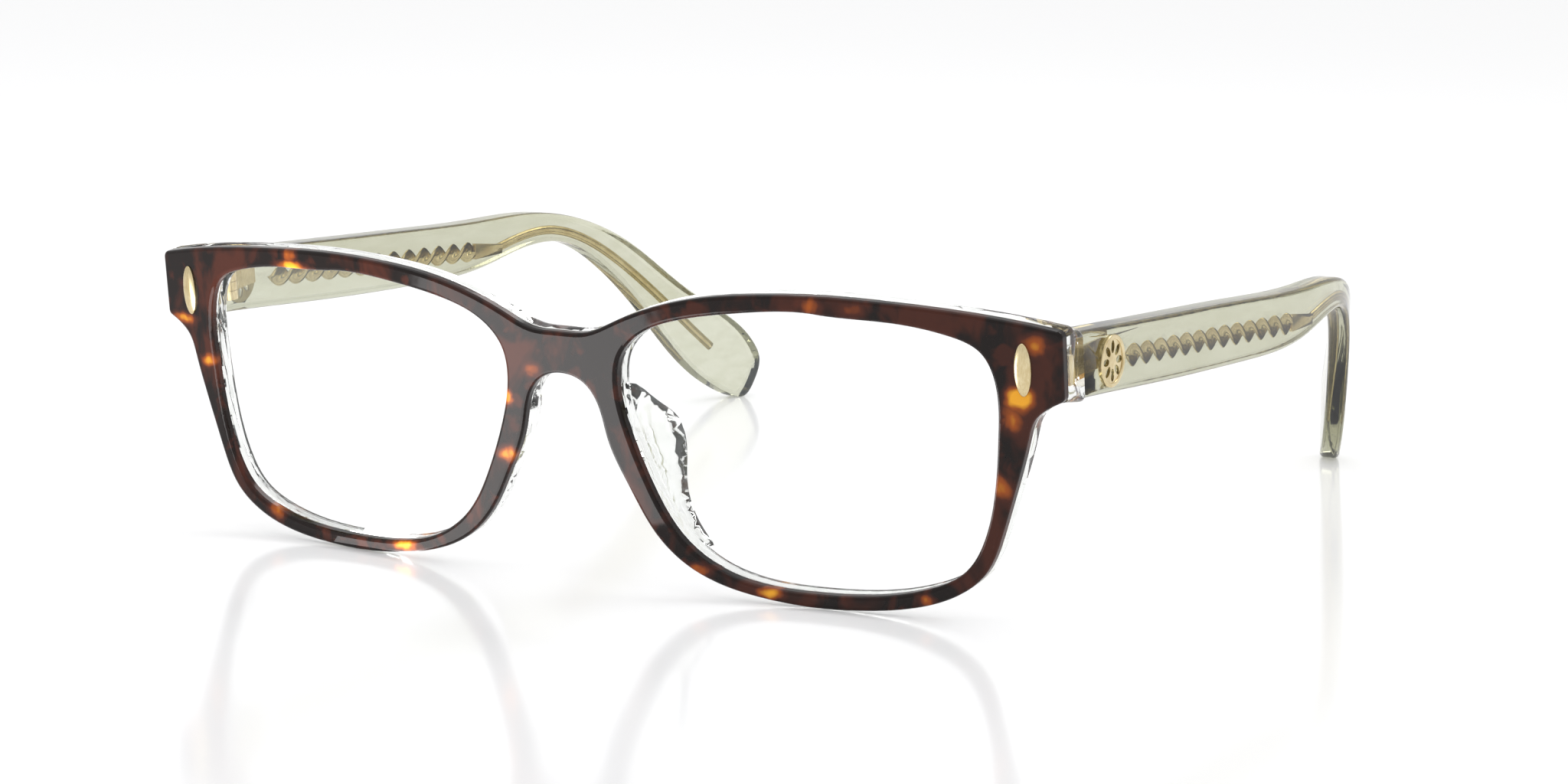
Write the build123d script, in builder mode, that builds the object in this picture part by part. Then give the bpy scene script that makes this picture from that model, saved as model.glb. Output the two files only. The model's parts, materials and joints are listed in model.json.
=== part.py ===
from build123d import *
from math import cos, radians, sin, sqrt
import os

# A pair of acetate eyeglasses, standing on its lower rims and its temple tips.
# +X is the wearer's left, +Y runs back along the temples and +Z is up. Millimetres.

# Overall sizes
front_width = 139.7
overall_depth = 137.3
front_tilt = 6.0  # degrees that the top of the front leans forward
front_radius = 329.0  # curve of the front, seen from above

# Lens openings and rims, measured in the plane of the front
lens_width = 52.65
lens_height = 37.25
bridge_gap = 17.0
rim_low = 1.93
rim_top = 2.45
rim_side = 2.45
bridge_top = 34.2
bridge_arch = 28.55
end_top = 38.8
end_bottom = 29.9
corner_radius = 0.9
bridge_swell = 0.15  # rise of the brow on either side of the bridge
bridge_fall = 1.1  # drop of the arch under the bridge, near and further from the middle
bridge_spread = 3.5
end_flare = 2.7  # drop of the rim below the end piece, further and nearer
end_foot = 0.95

# Laminated sheet: a thin tortoise layer on a thicker clear one
face_thickness = 1.35
back_thickness = 2.65
end_depth = 5.9  # of the end pieces, front surface to hinge seam
end_droop = 14.0  # degrees that the end pieces slope down towards the temples
end_overhang = 0.5
end_corner_radius = 1.15
end_length = 7.8  # of their thick part, in from the ends of the front
edge_radius = 0.5
rear_radius = 0.7

# Demo lenses and their groove
lens_thickness = 1.2
lens_setback = 1.75  # front of the sheet to the front of the lens
groove_depth = 0.75
groove_clearance = 0.05

# Oval studs on the end pieces
stud_height = 6.9
stud_width = 2.3
stud_inset = 5.0  # stud centre to the end of the front
stud_level = 33.15
stud_proud = 0.7
stud_sink = 0.9
stud_collar = 0.1  # straight side between the surface and the dome

# Built-up nose pads
pad_depth = 5.4
pad_spread = 3.0  # how far the fin leans outwards
pad_step = 0.15
pad_slim = 0.6  # how much the fin narrows
pad_low = 4.5
pad_high = 27.2

# Three-barrel hinges
barrel_radius = 1.4
barrel_height = 1.25
barrel_gap = 0.05
barrel_room = 0.3  # space cut round the barrels
hinge_inset = 6.1  # hinge axis to the outer side of the end piece
hinge_level = 32.27
hinge_plate = 0.9
plate_reach = 4.2
plate_step = 1.0  # how much less the temple's plate reaches
screw_radius = 0.55
screw_head_radius = 1.05
screw_head_height = 0.45
screw_slot = 0.3
running_clearance = 0.05
seam_gap = 0.06

# Temples
temple_thickness = 4.1
tip_thickness = 3.3
temple_height = 8.9
waist_height = 4.9
temple_step = 0.15  # the temple's outer face, in from the end piece
temple_droop = 0.058
bend_level = 31.4
tip_run = 41.7
tip_inset = 17.9
temple_edge_radius = 0.75
temple_plate_length = 9.0

# Wire core and medallion in each temple
rope_start = 24.0
rope_length = 52.2
rope_height = 3.1
rope_thickness = 1.3
rope_overlap = 0.4  # of each lobe over the next
rope_eyes = 13
eye_diameter = 0.6
paddle_height = 2.4
neck_length = 7.0
wire_diameter = 1.4
medallion_diameter = 6.8
medallion_thickness = 0.75
medallion_proud = 0.5
medallion_position = 17.8
medallion_rim = 0.6
medallion_petals = 8
petal_place = 0.27  # of the medallion's diameter, with the petals' half length and half width
petal_length = 0.12
petal_breadth = 0.07

# Derived places
half_width = front_width / 2
lens_x = (bridge_gap + lens_width) / 2
lens_z = rim_low + lens_height / 2
outer_half_width = lens_width / 2 + rim_side
sheet = face_thickness + back_thickness
tilt = radians(front_tilt)
brow_lead = bridge_top * sin(tilt)  # of the leaning brow ahead of the lower rims
front_y = -overall_depth / 2 + brow_lead
bend_start = overall_depth - brow_lead - tip_run
back_dir = Vector(0, cos(tilt), sin(tilt))
up_dir = Vector(0, -sin(tilt), cos(tilt))
origin = Vector(0, front_y, 0)
front_plane = Plane(origin, x_dir=(1, 0, 0), z_dir=-back_dir)
plan_plane = Plane(origin, x_dir=(1, 0, 0), z_dir=up_dir)
side_plane = Plane(origin, x_dir=(0, 1, 0), z_dir=(1, 0, 0))
floor_plane = Plane(origin, x_dir=(1, 0, 0), z_dir=(0, 0, 1))
reach = 60.0  # longer than any cut through the front
below = 10.0  # where cuts start, under the lowest point
margin = 5.0  # that cuts reach past the ends


def depth_at(x, radius=front_radius):
    """How far the curved front falls back at a distance x from the middle."""
    return front_radius - sqrt(radius**2 - x**2)


def settled(points):
    """Lowers points by what the leaning of the curved front would raise them."""
    return [(x, z - depth_at(x) * sin(tilt) / cos(tilt)) for x, z in points]


seam = depth_at(half_width) + end_depth
axis_x = half_width - hinge_inset

# The lens opening, in shares of its half width and half height
lens_shape = [
    (0.11, 1.0), (0.49, 0.975), (0.77, 0.912), (0.925, 0.811), (0.996, 0.587), (1.0, 0.241),
    (0.97, -0.185), (0.913, -0.505), (0.808, -0.75), (0.62, -0.893), (0.337, -0.979),
    (0.036, -1.0), (-0.266, -0.976), (-0.51, -0.872), (-0.699, -0.67), (-0.846, -0.329),
    (-0.947, 0.028), (-0.998, 0.369), (-0.974, 0.582), (-0.857, 0.763), (-0.642, 0.886),
    (-0.303, 0.971),
]
# The brow line and the lower rim, in shares of the rim's half width and half height
brow_shape = [(-0.912, 0.743), (-0.702, 0.857), (-0.44, 0.943), (-0.177, 0.983), (0.103, 1.0),
              (0.454, 0.986), (0.804, 0.95)]
rim_shape = [(-0.982, -0.018), (-0.884, -0.316), (-0.776, -0.58), (-0.632, -0.78), (-0.44, -0.907),
             (-0.212, -0.973), (0.051, -1.0), (0.243, -0.99), (0.489, -0.944), (0.699, -0.839),
             (0.832, -0.687), (0.916, -0.429), (0.993, -0.087), (1.049, 0.192)]


def lens_points(grow):
    half_w = lens_width / 2 + grow
    half_h = lens_height / 2 + grow
    return settled([(lens_x + u * half_w, lens_z + v * half_h) for u, v in lens_shape])


def rim_points(shape, rim):
    half_h = lens_height / 2 + rim
    return [(lens_x + u * outer_half_width, lens_z + v * half_h) for u, v in shape]


def both_halves(points):
    """A line of points from the middle outwards, continued by its mirror image."""
    return [(-x, z) for x, z in reversed(points[1:])] + points


brow_line = [(0, bridge_top), (0.47 * bridge_gap / 2, bridge_top + bridge_swell)]
brow_line += rim_points(brow_shape, rim_top) + [(half_width, end_top)]
lower_line = [(0, bridge_arch), (0.41 * bridge_gap / 2, bridge_arch - bridge_fall)]
lower_line += [(0.62 * bridge_gap / 2, bridge_arch - bridge_spread)] + rim_points(rim_shape, rim_low)
lower_line += [(half_width - 3.9, end_bottom - end_flare), (half_width - 1.9, end_bottom - end_foot)]
lower_line += [(half_width, end_bottom)]
brow_line = settled(brow_line)
lower_line = settled(lower_line)
end_high = brow_line[-1][1]
end_low = lower_line[-1][1]


def layer_plan(front, back, span):
    """Curved strip between two depths behind the front surface, seen from above."""
    for depth in (front, back):
        radius = front_radius - depth
        ThreePointArc(*[(x, depth_at(x, radius)) for x in (-span, 0, span)])
    for x in (-span, span):
        Line((x, depth_at(x, front_radius - front)), (x, depth_at(x, front_radius - back)))


# Space that a curved layer of the front fills, and that its parts are cut to
with BuildPart() as face_layer:
    with BuildSketch(plan_plane.offset(-below)):
        with BuildLine():
            layer_plan(0, face_thickness, half_width + margin)
        make_face()
    extrude(amount=reach)

with BuildPart() as back_layer:
    with BuildSketch(plan_plane.offset(-below)):
        with BuildLine():
            layer_plan(face_thickness, sheet, half_width + margin)
        make_face()
    extrude(amount=reach)

with BuildPart() as front_space:
    with BuildSketch(plan_plane.offset(-below)):
        with BuildLine():
            layer_plan(-2 * below, sheet, half_width + margin)
        make_face()
    extrude(amount=reach)

# Outline of the whole front, with both lens openings
with BuildSketch(front_plane) as outline:
    with BuildLine():
        Spline(*both_halves(brow_line))
        Spline(*both_halves(lower_line))
        for side in (1, -1):
            Line((side * half_width, end_high), (side * half_width, end_low))
    make_face()
    fillet(outline.vertices().group_by(Axis.X)[0] + outline.vertices().group_by(Axis.X)[-1], corner_radius)
    for side in (1, -1):
        with BuildLine():
            Spline(*[(side * x, z) for x, z in lens_points(0)], periodic=True)
        make_face(mode=Mode.SUBTRACT)

# Lenses, curved with the front and seated in the groove
with BuildPart() as lens_layer:
    with BuildSketch(plan_plane.offset(-below)):
        with BuildLine():
            layer_plan(lens_setback, lens_setback + lens_thickness, half_width)
        make_face()
    extrude(amount=reach)

with BuildPart() as lens:
    with BuildSketch(front_plane):
        with BuildLine():
            Spline(*lens_points(groove_depth - groove_clearance), periodic=True)
        make_face()
    extrude(amount=-reach)
    add(lens_layer.part, mode=Mode.INTERSECT)

with BuildPart() as groove:
    with BuildSketch(plan_plane.offset(-below)):
        with BuildLine():
            layer_plan(lens_setback - groove_clearance, lens_setback + lens_thickness + groove_clearance,
                       half_width)
        make_face()
    extrude(amount=reach)
    with BuildSketch(front_plane):
        for side in (1, -1):
            with BuildLine():
                Spline(*[(side * x, z) for x, z in lens_points(groove_depth)], periodic=True)
            make_face()
    extrude(amount=-reach, mode=Mode.INTERSECT)

# Oval studs, square to the curved surface where they sit
stud_x = half_width - stud_inset
stud_lean = stud_x / front_radius
stud_point = origin + Vector(stud_x, 0, 0) + back_dir * depth_at(stud_x) + up_dir * stud_level
stud_out = Vector(1, 0, 0) * sin(stud_lean) - back_dir * cos(stud_lean)
stud_plane = Plane(stud_point + stud_out * stud_collar, x_dir=up_dir, z_dir=stud_out)
stud_dome = stud_proud - stud_collar

with BuildPart() as stud:
    Sphere(1, arc_size1=0, align=(Align.CENTER, Align.CENTER, Align.MIN))
    Cylinder(1, (stud_collar + stud_sink) / stud_dome, align=(Align.CENTER, Align.CENTER, Align.MAX))
    scale(by=(stud_height / 2, stud_width / 2, stud_dome))
stud_left = stud.part.moved(stud_plane.location)

# Tortoise layer
with BuildPart() as front_face:
    extrude(outline.sketch, amount=reach, dir=back_dir)
    add(face_layer.part, mode=Mode.INTERSECT)
    fillet(front_face.faces().filter_by(GeomType.CYLINDER).sort_by(SortBy.AREA)[-1].edges(), edge_radius)
    for seated in (stud_left, mirror(stud_left, about=Plane.YZ)):
        add(seated, mode=Mode.SUBTRACT)

# Hinges: two barrels on the front half, one on the temple half, and a screw
axis_point = origin + Vector(axis_x, 0, 0) + back_dir * seam + up_dir * hinge_level
hinge_plane = Plane(axis_point, x_dir=(1, 0, 0), z_dir=up_dir)
stack_low = -1.5 * barrel_height - barrel_gap
stack_height = 3 * barrel_height + 2 * barrel_gap
mid_low = -barrel_height / 2

with BuildPart() as hinge_front:
    for low in (stack_low, mid_low + barrel_height + barrel_gap):
        with BuildSketch(hinge_plane.offset(low)):
            Circle(barrel_radius)
            with Locations((barrel_radius / 2, 0)):
                Rectangle(barrel_radius, barrel_radius + barrel_room, align=(Align.CENTER, Align.MAX))
        extrude(amount=barrel_height)
    with BuildSketch(hinge_plane.offset(stack_low)):
        with Locations((0, -barrel_radius - barrel_room)):
            Rectangle(plate_reach, hinge_plate, align=(Align.MIN, Align.MAX))
    extrude(amount=stack_height)
    with BuildSketch(hinge_plane.offset(stack_low)):
        Circle(screw_radius)
    extrude(amount=stack_height, mode=Mode.SUBTRACT)

with BuildPart() as hinge_temple:
    with BuildSketch(hinge_plane.offset(mid_low)):
        Circle(barrel_radius)
        with Locations((0, 2 * seam_gap)):
            Rectangle(plate_reach - plate_step, barrel_radius - 2 * seam_gap, align=(Align.MIN, Align.MIN))
    extrude(amount=barrel_height)
    with BuildSketch(hinge_plane.offset(stack_low)):
        with Locations((plate_reach - plate_step - hinge_plate, 2 * seam_gap)):
            Rectangle(hinge_plate, temple_plate_length, align=(Align.MIN, Align.MIN))
    extrude(amount=stack_height)
    with BuildSketch(hinge_plane.offset(mid_low)):
        Circle(screw_radius + running_clearance)
    extrude(amount=barrel_height, mode=Mode.SUBTRACT)

with BuildPart() as hinge_screw:
    with BuildSketch(hinge_plane.offset(stack_low)):
        Circle(screw_radius)
    extrude(amount=stack_height)
    with BuildSketch(hinge_plane.offset(stack_low + stack_height)):
        Circle(screw_head_radius)
    extrude(amount=screw_head_height)
    with BuildSketch(hinge_plane.offset(stack_low + stack_height + screw_head_height / 2)):
        Rectangle(3 * screw_head_radius, screw_slot)
    extrude(amount=screw_head_height, mode=Mode.SUBTRACT)

# Clear layer, thickened behind the end pieces to carry the hinges
block_start = half_width - end_length
block_inner = axis_x + barrel_radius + barrel_room
block_droop = radians(end_droop)
block_plane = front_plane.offset(-depth_at(half_width) - face_thickness)
block_dir = back_dir * cos(block_droop) - up_dir * sin(block_droop)

with BuildPart() as end_block:
    with BuildSketch(block_plane) as end_outline:
        with BuildLine():
            Spline(*both_halves(brow_line))
            Polyline((-half_width, end_high), (-half_width, end_low - end_overhang),
                     (half_width, end_low - end_overhang), (half_width, end_high))
        make_face()
        fillet(end_outline.vertices(), end_corner_radius)
    extrude(amount=reach, dir=block_dir)
    extrude(end_outline.sketch, amount=reach, dir=-block_dir)
    with BuildSketch(plan_plane.offset(-below)):
        block_front = depth_at(half_width) + face_thickness
        Polygon((block_start, block_front), (half_width + 1, block_front), (half_width + 1, seam),
                (block_inner, seam), (block_start, depth_at(block_start) + sheet), align=None)
    extrude(amount=reach, mode=Mode.INTERSECT)

with BuildPart() as barrel_space:
    with BuildSketch(hinge_plane.offset(stack_low - barrel_room)):
        Circle(barrel_radius + barrel_room)
    extrude(amount=stack_height + screw_head_height + 2 * barrel_room)

with BuildPart() as front_back:
    extrude(outline.sketch, amount=reach, dir=back_dir)
    add(back_layer.part, mode=Mode.INTERSECT)
    fillet(front_back.faces().filter_by(GeomType.CYLINDER).sort_by(SortBy.AREA)[-1].edges(), rear_radius)
    add(end_block.part)
    add(mirror(end_block.part, about=Plane.YZ))
    add(groove.part, mode=Mode.SUBTRACT)
    for cutter in (barrel_space.part, hinge_front.part, hinge_screw.part):
        add(cutter, mode=Mode.SUBTRACT)
        add(mirror(cutter, about=Plane.YZ), mode=Mode.SUBTRACT)

# Nose pads: a fin on the nose side of each rim that leans outwards as it rises from the rim
pad_outer = [(-0.99, 0.3), (-0.982, -0.018), (-0.884, -0.316), (-0.776, -0.58), (-0.632, -0.78)]
pad_inner = [(-0.998, 0.369), (-0.947, 0.028), (-0.846, -0.329), (-0.699, -0.67), (-0.53, -0.86)]


def pad_outline(lean, slim):
    outer = [(x + lean, z) for x, z in settled(rim_points(pad_outer, rim_low))]
    half_w = lens_width / 2
    half_h = lens_height / 2
    inner = settled([(lens_x + u * half_w, lens_z + v * half_h) for u, v in pad_inner])
    inner = [(x + lean - slim, z) for x, z in inner]
    Spline(*outer)
    Spline(*inner)
    Line(outer[0], inner[0])
    Line(outer[-1], inner[-1])


# Shares of the pad's depth and of its height
pad_profile = [(0.6, 0.846), (0.97, 0.74), (0.95, 0.6), (0.55, 0.42), (0.25, 0.22)]
with BuildPart() as nose_pad:
    with BuildSketch(front_plane.offset(-face_thickness)):
        with BuildLine():
            pad_outline(0, pad_step)
        make_face()
    with BuildSketch(front_plane.offset(-sheet - pad_depth)):
        with BuildLine():
            pad_outline(pad_spread, pad_slim)
        make_face()
    loft()
    with BuildSketch(Plane(origin, x_dir=back_dir, z_dir=(1, 0, 0))):
        with BuildLine():
            side_view = [(0, pad_high + sheet), (sheet, pad_high)]
            side_view += [(sheet + u * pad_depth, pad_low + v * (pad_high - pad_low)) for u, v in pad_profile]
            side_view += [(sheet, pad_low), (0, pad_low - sheet / 2)]
            Spline(*side_view)
            Line(side_view[-1], side_view[0])
        make_face()
    extrude(amount=reach, mode=Mode.INTERSECT)
    add(front_space.part, mode=Mode.SUBTRACT)

# Temples: their side view crossed with their view from above
hinge_y = seam * cos(tilt) - hinge_level * sin(tilt)
temple_level = seam * sin(tilt) + hinge_level * cos(tilt)
# Shares of the straight run, and of the change from the blade to the waist at the bend
blade_stations = [(-0.08, 0), (0.3, 0.03), (0.62, 0.11), (0.84, 0.43), (1, 1)]
# Shares of the tip's run and of the height of the bend above the floor
tip_upper = [(0.24, 1.013), (0.45, 0.875), (0.71, 0.585), (0.975, 0.28)]
tip_foot = [(1, 0.2), (0.975, 0.07), (0.93, 0)]
tip_lower = [(0.87, 0.02), (0.528, 0.49), (0.324, 0.78), (0.18, 0.895)]
# Shares of the tip's run, of its inward set, and of the change from full to tip thickness
tip_plan = [(0, 0.05, 0.6), (0.24, 0.17, 0.8), (0.48, 0.38, 0.9), (0.72, 0.65, 1), (1.04, 1, 1)]


def core_level(y):
    """Height of the blade's middle line, which runs straight on past the bend."""
    return temple_level - temple_droop * (y - hinge_y)


def blade_points(side):
    """Edge of the straight run above (side 1) or below (side -1) its middle line."""
    points = []
    for run, waist in blade_stations:
        y = hinge_y + run * (bend_start - hinge_y)
        middle = core_level(y) + waist * (bend_level - core_level(bend_start))
        points.append((y, middle + side * (temple_height - waist * (temple_height - waist_height)) / 2))
    return points


def tip_points(shares):
    return [(bend_start + run * tip_run, level * bend_level) for run, level in shares]


def plan_points(depth):
    """Line along the temple at a share of its thickness from the outer face, as (x, y)."""
    outer_x = half_width - temple_step
    points = [(outer_x - depth * temple_thickness, share * bend_start) for share in (0, 0.3, 0.6)]
    for run, inset, thin in tip_plan:
        thickness = temple_thickness - thin * (temple_thickness - tip_thickness)
        points.append((outer_x - inset * tip_inset - depth * thickness, bend_start + run * tip_run))
    return points


with BuildPart() as temple_blank:
    with BuildSketch(side_plane):
        with BuildLine():
            edge_line = blade_points(1) + tip_points(tip_upper + tip_foot + tip_lower)
            edge_line += reversed(blade_points(-1))
            Spline(*edge_line)
            Line(edge_line[-1], edge_line[0])
        make_face()
    extrude(amount=half_width + below)
    with BuildSketch(floor_plane.offset(-margin)):
        with BuildLine():
            outer = plan_points(0)
            inner = plan_points(1)
            Spline(*outer)
            Spline(*inner)
            Line(outer[0], inner[0])
            Line(outer[-1], inner[-1])
        make_face()
    extrude(amount=reach, mode=Mode.INTERSECT)
    long_edges = temple_blank.edges().filter_by(lambda edge: edge.length > bend_start / 2)
    fillet(long_edges, temple_edge_radius)
    split(bisect_by=front_plane.offset(-seam - seam_gap), keep=Keep.BOTTOM)

# Wire core: a rope of overlapping lobes pierced by small eyes, then a tapering neck and a round wire
# that follows the bend
core_x = half_width - temple_step - temple_thickness / 2
core_plane = Plane(origin + Vector(core_x, 0, 0), x_dir=(0, 1, 0), z_dir=(1, 0, 0))
eye_pitch = rope_length / rope_eyes
# Shares of the tip's run, of the height of the bend and of the tip's inward set
wire_shares = [(-0.06, 0.975, 0.03), (0.08, 0.98, 0.08), (0.25, 0.915, 0.18), (0.42, 0.77, 0.32),
               (0.66, 0.47, 0.57), (0.8, 0.28, 0.73)]
wire_places = [(bend_start + run * tip_run, level * bend_level, inset * tip_inset)
               for run, level, inset in wire_shares]
rope_end = rope_start + rope_length
neck_end = rope_end + neck_length
eyes = [rope_start + (count + 0.5) * eye_pitch for count in range(rope_eyes)]
with BuildPart() as core_wire:
    with BuildSketch(core_plane):
        with Locations(*[(y, core_level(y)) for y in eyes]):
            Ellipse((eye_pitch + rope_overlap) / 2, rope_height / 2)
        Polygon((eyes[-1], core_level(eyes[-1]) + paddle_height / 2),
                (rope_end, core_level(rope_end) + paddle_height / 2),
                (neck_end, core_level(neck_end) + wire_diameter / 2),
                (neck_end, core_level(neck_end) - wire_diameter / 2),
                (rope_end, core_level(rope_end) - paddle_height / 2),
                (eyes[-1], core_level(eyes[-1]) - paddle_height / 2), align=None)
        with Locations(*[(y, core_level(y)) for y in eyes]):
            Circle(eye_diameter / 2, mode=Mode.SUBTRACT)
    extrude(amount=rope_thickness / 2, both=True)
    with BuildLine() as wire_path:
        start = origin + Vector(core_x, neck_end - wire_diameter, core_level(neck_end - wire_diameter))
        Spline(start, *[origin + Vector(core_x - inset, y, z) for y, z, inset in wire_places])
    with BuildSketch(Plane(wire_path.line @ 0, z_dir=wire_path.line % 0)):
        Circle(wire_diameter / 2)
    sweep()

# Medallion: a plain ring round a rosette of open petals, let into the outer face
medallion_x = half_width - temple_step + medallion_proud
medallion_plane = Plane(origin + Vector(medallion_x, medallion_position, core_level(medallion_position)),
                        x_dir=(0, 1, 0), z_dir=(1, 0, 0))
with BuildPart() as medallion:
    with BuildSketch(medallion_plane):
        Circle(medallion_diameter / 2)
    extrude(amount=-medallion_thickness)
    with BuildSketch(medallion_plane.offset(-medallion_proud / 3)):
        Circle(medallion_diameter / 2 - medallion_rim)
    extrude(amount=medallion_proud, mode=Mode.SUBTRACT)
    with BuildSketch(medallion_plane):
        with PolarLocations(petal_place * medallion_diameter, medallion_petals):
            Ellipse(petal_length * medallion_diameter, petal_breadth * medallion_diameter)
    extrude(amount=-medallion_thickness, mode=Mode.SUBTRACT)
    rim_edges = medallion.edges().filter_by(GeomType.CIRCLE).group_by(Axis.X)[-1]
    fillet(rim_edges, medallion_rim / 4)

with BuildPart() as temple:
    add(temple_blank.part)
    for cutter in (hinge_temple.part, barrel_space.part, core_wire.part, medallion.part):
        add(cutter, mode=Mode.SUBTRACT)

# One file for each piece of the front, and one for each side of every paired piece
os.makedirs("parts", exist_ok=True)
for name, piece in (("front_face", front_face.part), ("front_back", front_back.part)):
    piece.label = name
    export_step(piece, f"parts/{name}.step")

paired = {
    "lens": lens.part,
    "stud": stud_left,
    "nose_pad": nose_pad.part,
    "hinge_front": hinge_front.part,
    "hinge_temple": hinge_temple.part,
    "hinge_screw": hinge_screw.part,
    "temple": temple.part,
    "core_wire": core_wire.part,
    "medallion": medallion.part,
}
for name, piece in paired.items():
    for side, copy in (("left", piece), ("right", mirror(piece, about=Plane.YZ))):
        copy.label = f"{name}_{side}"
        export_step(copy, f"parts/{name}_{side}.step")
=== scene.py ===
import json
from math import cos, pi, radians, sin, sqrt

import bpy
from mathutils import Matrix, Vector
from mathutils.bvhtree import BVHTree

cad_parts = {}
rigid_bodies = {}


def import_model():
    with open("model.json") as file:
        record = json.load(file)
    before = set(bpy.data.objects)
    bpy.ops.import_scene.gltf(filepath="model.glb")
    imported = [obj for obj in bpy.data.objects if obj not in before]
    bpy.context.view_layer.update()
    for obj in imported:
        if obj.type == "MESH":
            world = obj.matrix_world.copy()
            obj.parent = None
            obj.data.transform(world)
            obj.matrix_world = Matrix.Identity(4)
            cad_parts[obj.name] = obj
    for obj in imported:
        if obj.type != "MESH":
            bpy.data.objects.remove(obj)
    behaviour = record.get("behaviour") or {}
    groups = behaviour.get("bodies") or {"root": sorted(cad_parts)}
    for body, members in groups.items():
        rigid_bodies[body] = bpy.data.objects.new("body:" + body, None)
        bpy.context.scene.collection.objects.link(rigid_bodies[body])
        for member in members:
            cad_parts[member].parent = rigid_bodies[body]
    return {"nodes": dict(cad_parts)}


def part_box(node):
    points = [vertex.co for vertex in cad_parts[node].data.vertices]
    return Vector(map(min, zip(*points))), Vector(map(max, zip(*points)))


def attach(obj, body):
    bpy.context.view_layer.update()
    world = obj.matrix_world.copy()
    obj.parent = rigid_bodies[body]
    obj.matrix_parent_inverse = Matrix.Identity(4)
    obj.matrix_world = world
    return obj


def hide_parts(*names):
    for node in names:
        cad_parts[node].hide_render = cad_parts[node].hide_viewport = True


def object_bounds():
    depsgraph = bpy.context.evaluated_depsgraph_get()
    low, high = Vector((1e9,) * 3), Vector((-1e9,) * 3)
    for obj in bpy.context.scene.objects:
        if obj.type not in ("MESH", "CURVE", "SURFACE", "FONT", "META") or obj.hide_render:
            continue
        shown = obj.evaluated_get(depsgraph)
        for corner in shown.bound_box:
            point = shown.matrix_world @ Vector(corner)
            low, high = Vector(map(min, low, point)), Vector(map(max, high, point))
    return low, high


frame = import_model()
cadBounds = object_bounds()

mm = 0.001
sides = {"left": 1, "right": -1}


def rgb(red, green, blue):
    # display colour to the linear values that shaders use
    shares = (red, green, blue)
    return tuple(((c / 255 + 0.055) / 1.055) ** 2.4 if c > 10 else c / 3295 for c in shares) + (1,)


class Wire:
    def __init__(self, tree, socket):
        self.tree = tree
        self.socket = socket

    def make(self, kind, settings, sockets, output=0):
        node = self.tree.nodes.new(kind)
        for key, value in settings.items():
            if key == "stops":
                ends = node.color_ramp.elements
                ends[0].position, ends[0].color = value[0]
                ends[1].position, ends[1].color = value[-1]
                for place, colour in value[1:-1]:
                    ends.new(place).color = colour
            else:
                setattr(node, key, value)
        for key, value in sockets.items():
            if isinstance(value, Wire):
                self.tree.links.new(value.socket, node.inputs[key])
            else:
                node.inputs[key].default_value = value
        return Wire(self.tree, node.outputs[output])

    def sum(self, operation, first, second):
        return self.make("ShaderNodeMath", {"operation": operation}, {0: first, 1: second})

    def __add__(self, other):
        return self.sum("ADD", self, other)

    def __sub__(self, other):
        return self.sum("SUBTRACT", self, other)

    def __mul__(self, other):
        return self.sum("MULTIPLY", self, other)

    __radd__ = __add__
    __rmul__ = __mul__

    def __rsub__(self, other):
        return self.sum("SUBTRACT", other, self)

    def larger(self, other):
        return self.sum("MAXIMUM", self, other)

    def rise(self, low, high):
        # 0 below low, 1 above high, smooth between
        return self.make("ShaderNodeMapRange", {"interpolation_type": "SMOOTHSTEP"},
                         {"Value": self, "From Min": low, "From Max": high})

    def blend(self, first, second):
        # first colour where this is 0, second where it is 1
        return self.make("ShaderNodeMix", {"data_type": "RGBA"}, {0: self, 6: first, 7: second}, 2)

    def vector(self, operation, other):
        return self.make("ShaderNodeVectorMath", {"operation": operation}, {0: self, 1: other})

    def noise(self, scale, detail=2, roughness=0.5, distortion=0, output=0):
        return self.make("ShaderNodeTexNoise", {}, {"Vector": self, "Scale": scale, "Detail": detail,
                         "Roughness": roughness, "Distortion": distortion}, output)


def newMaterial(name, **fixed):
    # returns the material, its main shader and the place on the piece in millimetres
    material = bpy.data.materials.new(name)
    material.use_nodes = True
    tree = material.node_tree
    shader = tree.nodes["Principled BSDF"]
    for key, value in fixed.items():
        shader.inputs[key.replace("_", " ")].default_value = value
    start = Wire(tree, tree.nodes.new("ShaderNodeTexCoord").outputs["Object"])
    return material, shader, start.vector("MULTIPLY", (1 / mm, 1 / mm, 1 / mm))


def feed(shader, **wires):
    for key, wire in wires.items():
        wire.tree.links.new(wire.socket, shader.inputs[key.replace("_", " ")])


def bump(wire, height, distance):
    return wire.make("ShaderNodeBump", {}, {"Height": wire, "Strength": height, "Distance": distance}, 0)


def lighterShadow(material, shader, place, share):
    # clear stock lets light through, so its shadow is mostly open
    tree = material.node_tree
    shadowRay = place.make("ShaderNodeLightPath", {}, {}, 1)
    clear = place.make("ShaderNodeBsdfTransparent", {}, {})
    solid = Wire(tree, shader.outputs[0])
    both = place.make("ShaderNodeMixShader", {}, {0: shadowRay * share, 1: solid, 2: clear})
    tree.links.new(both.socket, tree.nodes["Material Output"].inputs["Surface"])


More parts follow.
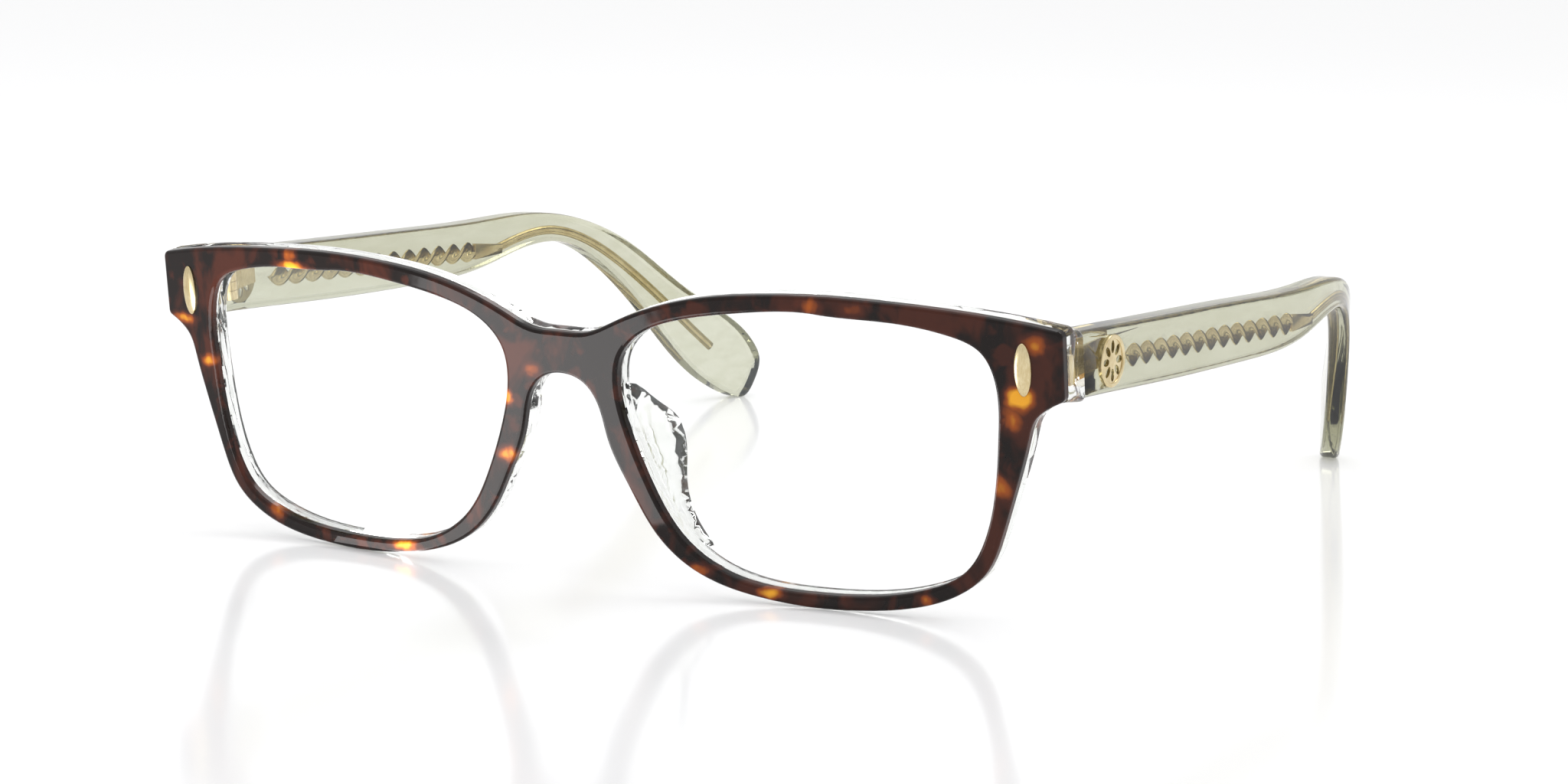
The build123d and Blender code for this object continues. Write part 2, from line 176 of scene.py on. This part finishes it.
tortoise = {
    "dark": rgb(22, 15, 13), "brown": rgb(74, 34, 22), "orange": rgb(150, 74, 24), "amber": rgb(236, 166, 44),
    "mottle": 0.16, "grain": 2.2, "roughness": 0.06, "gloss": 0.22, "drift": 1.5,
    # bright spots: across, up, half width, half height, strength, in mm
    "spots": [(64.3, 29.9, 2.5, 2.1, 1.2), (63.0, 27.1, 1.7, 2.4, 0.62), (66.5, 37.0, 2.2, 1.9, 0.72),
              (61.6, 18.3, 2.0, 1.9, 0.66), (29.7, 1.5, 2.4, 1.3, 1.1), (51.2, 2.4, 1.6, 1.1, 0.6),
              (19.2, 3.6, 2.6, 1.3, 0.6), (37.0, 40.2, 2.2, 1.6, 0.5), (43.2, 39.9, 2.4, 1.6, 0.5),
              (-28.0, 1.8, 3.2, 1.2, 1.05), (-44.6, 39.1, 3.8, 1.1, 0.95), (-44.6, 40.7, 1.8, 1.6, 0.6),
              (-66.6, 29.5, 3.2, 1.3, 0.85), (-62.3, 24.0, 2.0, 1.4, 0.8), (-8.6, 24.5, 1.2, 1.7, 0.95),
              (-9.2, 16.7, 2.2, 1.5, 0.8), (-4.2, 28.6, 1.8, 1.4, 0.6), (-51.0, 3.8, 2.6, 1.5, 0.55)],
}


def makeTortoise():
    material, shader, place = newMaterial("tortoise", IOR=1.49, Specular_IOR_Level=tortoise["gloss"])
    cloud = place.vector("MULTIPLY", (1, 1, 0.55)).noise(tortoise["mottle"], 3, 0.55, 0.6)
    patch = place.vector("ADD", (31, 7, 3)).noise(tortoise["mottle"] * 2.1, 2, 0.5, 0.4)
    wander = (tortoise["drift"], 0, tortoise["drift"])
    drift = place.noise(0.4, 2, 0.5, 0, 1).vector("SUBTRACT", (0.5, 0.5, 0.5)).vector("MULTIPLY", wander)
    spotted = None
    for across, up, halfWidth, halfHeight, strength in tortoise["spots"]:
        away = place.vector("ADD", drift).vector("SUBTRACT", (across, 0, up))
        away = away.vector("MULTIPLY", (1 / halfWidth, 0, 1 / halfHeight))
        distance = away.make("ShaderNodeVectorMath", {"operation": "LENGTH"}, {0: away}, 1)
        mask = (1 - distance.rise(0.1, 1.15)) * strength
        spotted = mask if spotted is None else spotted.larger(mask)
    reddish = cloud.rise(0.46, 0.64) * 0.66
    reddish = reddish.larger(patch.rise(0.52, 0.7) * 0.5)
    depth = reddish * 0.36 + spotted * 0.72
    colour = depth.make("ShaderNodeValToRGB", {"stops": [
        (0.0, tortoise["dark"]), (0.3, tortoise["brown"]),
        (0.58, tortoise["orange"]), (0.9, tortoise["amber"])]},
        {0: depth})
    rough = place.noise(tortoise["grain"], 2) * 0.05 + tortoise["roughness"]
    feed(shader, Base_Color=colour, Roughness=rough, Normal=bump(place.noise(0.35, 1), 0.05, 0.0004))
    return material


clearStock = {"tint": rgb(250, 251, 249), "streak": rgb(243, 245, 242), "roughness": 0.004, "shadow": 0.75}
oliveStock = {"tint": rgb(233, 234, 220), "streak": rgb(222, 223, 205), "roughness": 0.006, "shadow": 0.55,
              "depthColour": (0.47, 0.46, 0.28, 1), "depth": 145.0}


def makeAcetate(name, stock):
    material, shader, place = newMaterial(name, IOR=1.49, Transmission_Weight=1.0)
    streak = place.vector("MULTIPLY", (1, 0.15, 1)).noise(0.6, 3, 0.5, 0.3).rise(0.35, 0.7)
    rough = place.noise(1.5, 2) * stock["roughness"] + stock["roughness"]
    feed(shader, Base_Color=streak.blend(stock["tint"], stock["streak"]), Roughness=rough)
    if "depth" in stock:
        absorb = material.node_tree.nodes.new("ShaderNodeVolumeAbsorption")
        absorb.inputs["Color"].default_value = stock["depthColour"]
        absorb.inputs["Density"].default_value = stock["depth"]
        output = material.node_tree.nodes["Material Output"]
        material.node_tree.links.new(absorb.outputs[0], output.inputs["Volume"])
    lighterShadow(material, shader, place, stock["shadow"])
    return material


goldFinish = {"light": rgb(226, 211, 172), "dark": rgb(196, 176, 130), "roughness": 0.2, "brush": 7.0}
steelFinish = {"light": rgb(205, 202, 190), "dark": rgb(170, 166, 150), "roughness": 0.24, "brush": 9.0}
lensFinish = {"tint": rgb(240, 246, 244), "edge": rgb(225, 236, 232), "alpha": 0.035}


def makeMetal(name, finish):
    material, shader, place = newMaterial(name, Metallic=1.0)
    brushed = place.vector("MULTIPLY", (1, 1, 0.2)).noise(finish["brush"], 2)
    worn = place.noise(0.4, 3)
    tone = (worn * 0.6 + brushed * 0.4).rise(0.3, 0.7)
    feed(shader, Base_Color=tone.blend(finish["dark"], finish["light"]),
         Roughness=brushed * 0.1 + finish["roughness"], Normal=bump(brushed, 0.04, 0.00005))
    return material


def makeLens():
    material, shader, place = newMaterial("lens", IOR=1.5, Alpha=lensFinish["alpha"])
    haze = place.noise(0.15, 2)
    feed(shader, Base_Color=haze.blend(lensFinish["tint"], lensFinish["edge"]), Roughness=haze * 0.02 + 0.01)
    return material


materials = {
    "tortoise": makeTortoise(),
    "clear_acetate": makeAcetate("clear_acetate", clearStock),
    "olive_crystal": makeAcetate("olive_crystal", oliveStock),
    "pale_gold": makeMetal("pale_gold", goldFinish),
    "steel": makeMetal("steel", steelFinish),
    "lens": makeLens(),
}
print("finishes made")


def dress(piece, finish):
    piece.data.materials.clear()
    piece.data.materials.append(materials[finish])


finishes = {"front_face": "tortoise"}
for side in sides:
    for name in ("stud", "hinge_front", "hinge_temple", "medallion"):
        finishes[f"{name}_{side}"] = "pale_gold"
    finishes[f"hinge_screw_{side}"] = "steel"
    finishes[f"lens_{side}"] = "lens"
    finishes[f"nose_pad_{side}"] = "clear_acetate"
    finishes[f"temple_{side}"] = "olive_crystal"
    finishes[f"core_wire_{side}"] = "pale_gold"
finishes["front_back"] = "clear_acetate"
for name, finish in finishes.items():
    dress(frame["nodes"][name], finish)


def onlyPick(piece):
    bpy.ops.object.select_all(action="DESELECT")
    piece.select_set(True)
    bpy.context.view_layer.objects.active = piece


def pickVertices(piece, wanted):
    # leaves edit mode on, with the wanted vertices picked
    onlyPick(piece)
    bpy.ops.object.mode_set(mode="EDIT")
    bpy.ops.mesh.select_mode(type="VERT")
    bpy.ops.mesh.select_all(action="DESELECT")
    bpy.ops.object.mode_set(mode="OBJECT")
    for vertex in piece.data.vertices:
        vertex.select = wanted(vertex.co)
    bpy.ops.object.mode_set(mode="EDIT")


def solidCopy(node, name):
    # a welded copy of a CAD piece that can be worked on
    piece = frame["nodes"][node].copy()
    piece.data = piece.data.copy()
    piece.parent = None
    for key in list(piece.keys()):
        del piece[key]
    piece.name = name
    bpy.context.scene.collection.objects.link(piece)
    onlyPick(piece)
    bpy.ops.object.mode_set(mode="EDIT")
    bpy.ops.mesh.select_all(action="SELECT")
    bpy.ops.mesh.remove_doubles(threshold=0.002 * mm)
    bpy.ops.object.mode_set(mode="OBJECT")
    return piece


def swallow(piece, node, amount, inside):
    # grows the walls of a pocket a little into the piece it holds, so that no two faces lie together
    mesh = frame["nodes"][node].data
    held = BVHTree.FromPolygons([v.co for v in mesh.vertices], [p.vertices for p in mesh.polygons])
    pickVertices(piece, lambda place: inside(place) and held.find_nearest(place, 0.02 * mm)[0] is not None)
    bpy.ops.transform.shrink_fatten(value=amount)
    bpy.ops.object.mode_set(mode="OBJECT")


def smooth(piece, angle, weighted=True):
    onlyPick(piece)
    bpy.ops.object.shade_smooth_by_angle(angle=radians(angle))
    if weighted:  # long flat faces keep their own direction beside narrow rounded ones
        even = piece.modifiers.new("even", "WEIGHTED_NORMAL")
        even.weight = 100
        even.keep_sharp = True
        bpy.ops.object.modifier_apply(modifier=even.name)


def mend(piece, operation, other):
    cut = piece.modifiers.new(operation.lower(), "BOOLEAN")
    cut.operation = operation
    cut.object = other
    cut.solver = "EXACT"
    onlyPick(piece)
    bpy.ops.object.modifier_apply(modifier=cut.name)
    bpy.data.objects.remove(other)


sheet = {"originY": -65.075 * mm, "lean": radians(6), "radius": 329 * mm, "face": 1.35 * mm, "whole": 4 * mm,
         "seam": 13.35 * mm}
backPiece = {"overlap": 0.06 * mm, "padOverlap": 0.3 * mm, "pocketOverlap": 0.03 * mm, "smooth": 55}
backDir = Vector((0, cos(sheet["lean"]), sin(sheet["lean"])))


def depthIn(place):
    # how far a place lies behind the middle of the front's outer face
    return (place - Vector((0, sheet["originY"], 0))).dot(backDir)


def layerDepth(x, below):
    return sheet["radius"] - sqrt((sheet["radius"] - below) ** 2 - x * x)


clearBack = solidCopy("front_back", "clear_back")
for side in sides:
    pad = solidCopy(f"nose_pad_{side}", f"pad_{side}")
    pickVertices(pad, lambda place: depthIn(place) < layerDepth(place.x, sheet["whole"]) + 0.02 * mm)
    bpy.ops.transform.translate(value=-backPiece["padOverlap"] * backDir)
    bpy.ops.object.mode_set(mode="OBJECT")
    mend(clearBack, "UNION", pad)
pickVertices(clearBack, lambda place: depthIn(place) < layerDepth(place.x, sheet["face"]) + 0.03 * mm)
bpy.ops.transform.translate(value=-backPiece["overlap"] * backDir)
bpy.ops.object.mode_set(mode="OBJECT")
for side in sides:
    swallow(clearBack, f"hinge_front_{side}", backPiece["pocketOverlap"],
            lambda place: depthIn(place) < sheet["seam"])
smooth(clearBack, backPiece["smooth"])
dress(clearBack, "clear_acetate")
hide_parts("front_back", "nose_pad_left", "nose_pad_right")
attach(clearBack, "front")
print("clear back made")


templePiece = {"overlap": 0.03 * mm, "smooth": 30, "skin": 0.1 * mm}


def makeTemple(side):
    piece = solidCopy(f"temple_{side}", f"crystal_temple_{side}")
    tip = min(piece.data.vertices, key=lambda vertex: vertex.co.z).index
    onlyPick(piece)
    bpy.ops.object.mode_set(mode="EDIT")
    bpy.ops.mesh.select_mode(type="VERT")
    bpy.ops.mesh.select_all(action="DESELECT")
    bpy.ops.object.mode_set(mode="OBJECT")
    piece.data.vertices[tip].select = True
    bpy.ops.object.mode_set(mode="EDIT")
    bpy.ops.mesh.select_linked()
    bpy.ops.mesh.select_all(action="INVERT")
    bpy.ops.mesh.delete(type="VERT")  # the wire's own space: the wire lies in solid acetate here
    bpy.ops.object.mode_set(mode="OBJECT")
    outer = max(abs(vertex.co.x) for vertex in piece.data.vertices) - templePiece["skin"]
    swallow(piece, f"medallion_{side}", templePiece["overlap"], lambda place: abs(place.x) < outer)
    swallow(piece, f"hinge_temple_{side}", templePiece["overlap"],
            lambda place: depthIn(place) > sheet["seam"] + 3 * templePiece["skin"])
    smooth(piece, templePiece["smooth"])
    dress(piece, "olive_crystal")
    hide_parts(f"temple_{side}")
    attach(piece, f"temple_{side}")


for side in sides:
    makeTemple(side)
print("temples made")


rope = {"gap": 6.2 * mm, "length": 52.2 * mm, "turns": 6.5, "height": 3.1 * mm, "thickness": 1.3 * mm,
        "strand": 0.52, "sides": 20, "steps": 26, "slope": 0.058, "smooth": 40}


def makeRope(side, sign):
    low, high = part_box(f"medallion_{side}")
    coreLow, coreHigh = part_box(f"core_wire_{side}")
    x = sign * max(abs(coreLow.x), abs(coreHigh.x)) - sign * rope["thickness"] / 2
    level = (low.z + high.z) / 2 - rope["slope"] * rope["gap"]
    start = Vector((x, (low.y + high.y) / 2 + rope["gap"], level))
    strandRadius = rope["strand"] * rope["height"] / 2
    offset = rope["height"] / 2 - strandRadius
    strands = []
    for way in (1, -1):
        bpy.ops.object.select_all(action="DESELECT")
        bpy.ops.mesh.primitive_circle_add(vertices=rope["sides"], radius=strandRadius,
                                          location=(way * offset, 0, 0), rotation=(pi / 2, 0, 0))
        strand = bpy.context.active_object
        bpy.ops.object.transform_apply(location=True, rotation=True, scale=True)
        twist = strand.modifiers.new("twist", "SCREW")
        twist.axis = "Z"
        twist.angle = sign * 2 * pi * rope["turns"]
        twist.screw_offset = rope["length"]
        twist.steps = twist.render_steps = int(rope["steps"] * rope["turns"])
        bpy.ops.object.modifier_apply(modifier=twist.name)
        bpy.ops.object.mode_set(mode="EDIT")
        bpy.ops.mesh.select_mode(type="EDGE")
        bpy.ops.mesh.select_all(action="DESELECT")
        bpy.ops.mesh.select_non_manifold()
        bpy.ops.mesh.fill_holes(sides=0)
        bpy.ops.mesh.select_all(action="SELECT")
        bpy.ops.mesh.normals_make_consistent(inside=False)
        bpy.ops.object.mode_set(mode="OBJECT")
        strands.append(strand)
    bpy.ops.object.select_all(action="DESELECT")
    for strand in strands:
        strand.select_set(True)
        strand.scale = (rope["thickness"] / rope["height"], 1, 1)
        strand.rotation_euler = (-pi / 2 - rope["slope"], 0, 0)
        strand.location = start
    bpy.context.view_layer.objects.active = strands[0]
    bpy.ops.object.transform_apply(location=True, rotation=True, scale=True)
    tail = solidCopy(f"core_wire_{side}", f"tail_{side}")
    onlyPick(tail)
    bpy.ops.object.mode_set(mode="EDIT")
    bpy.ops.mesh.select_all(action="SELECT")
    bpy.ops.mesh.bisect(plane_co=start + Vector((0, rope["length"] - 0.3 * mm, 0)), plane_no=(0, 1, 0),
                        clear_inner=True, use_fill=True)
    bpy.ops.object.mode_set(mode="OBJECT")
    for strand in strands:
        strand.select_set(True)
    bpy.ops.object.join()
    tail.name = f"rope_{side}"
    smooth(tail, rope["smooth"], False)
    dress(tail, "pale_gold")
    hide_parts(f"core_wire_{side}")
    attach(tail, f"temple_{side}")


for side, sign in sides.items():
    makeRope(side, sign)
print("ropes made")


studio = {
    "floorSize": 8, "floor": rgb(244, 244, 245), "floorRoughness": 0.12, "floorGlow": 0.12,
    "background": 1.0, "ambient": 0.85, "overhead": 1.6, "strip": 0.9, "card": 0.15,
    "camera": (0.30905, -0.54284, 0.12726), "elevation": 10.15, "azimuth": 30.09, "lens": 100.85,
}

bpy.ops.object.select_all(action="DESELECT")
bpy.ops.mesh.primitive_plane_add(size=studio["floorSize"], location=(0, 0, cadBounds[0].z))
floor = bpy.context.active_object
floor.name = "floor"
floorMaterial, floorShader, floorPlace = newMaterial("floor", IOR=1.6, Base_Color=studio["floor"],
                                                    Emission_Color=studio["floor"],
                                                    Emission_Strength=studio["floorGlow"])
feed(floorShader, Roughness=floorPlace.noise(0.01, 2) * 0.02 + studio["floorRoughness"])
floor.data.materials.append(floorMaterial)

world = bpy.data.worlds.new("studio")
bpy.context.scene.world = world
world.use_nodes = True
worldNodes = world.node_tree.nodes
skyLight = Wire(world.node_tree, worldNodes.new("ShaderNodeLightPath").outputs["Is Camera Ray"])
through = Wire(world.node_tree, worldNodes.new("ShaderNodeLightPath").outputs["Is Transmission Ray"])
brightness = skyLight.larger(through) * (studio["background"] - studio["ambient"]) + studio["ambient"]
world.node_tree.links.new(brightness.socket, worldNodes["Background"].inputs["Strength"])
worldNodes["Background"].inputs["Color"].default_value = (1, 1, 1, 1)


def addLamp(name, location, target, width, height, power, **flags):
    bpy.ops.object.light_add(type="AREA", location=location)
    lamp = bpy.context.active_object
    lamp.name = name
    lamp.data.shape = "RECTANGLE"
    lamp.data.size, lamp.data.size_y = width, height
    lamp.data.energy = power
    lamp.rotation_euler = (Vector(target) - Vector(location)).to_track_quat("-Z", "Y").to_euler()
    lamp.visible_camera = False
    for key, value in flags.items():
        setattr(lamp, key, value)
    return lamp


addLamp("overhead", (-0.15, -0.1, 0.9), (0, 0, 0.02), 0.9, 0.7, studio["overhead"])
addLamp("strip", (0.05, 0.3, 0.45), (0, -0.06, 0.03), 0.7, 0.12, studio["strip"])
card = addLamp("card", (-0.055, -0.135, 0.0006), (-0.055, -0.135, 1), 0.062, 0.15, studio["card"])
card.rotation_euler = (pi, 0, radians(-36))

bpy.ops.object.camera_add(location=studio["camera"],
                          rotation=(radians(90 - studio["elevation"]), 0, radians(studio["azimuth"])))
camera = bpy.context.active_object
camera.data.lens = studio["lens"]
camera.data.sensor_width = 36
camera.data.clip_start = 0.01
bpy.context.scene.camera = camera
bpy.context.scene.view_settings.view_transform = "Standard"
print("studio made")
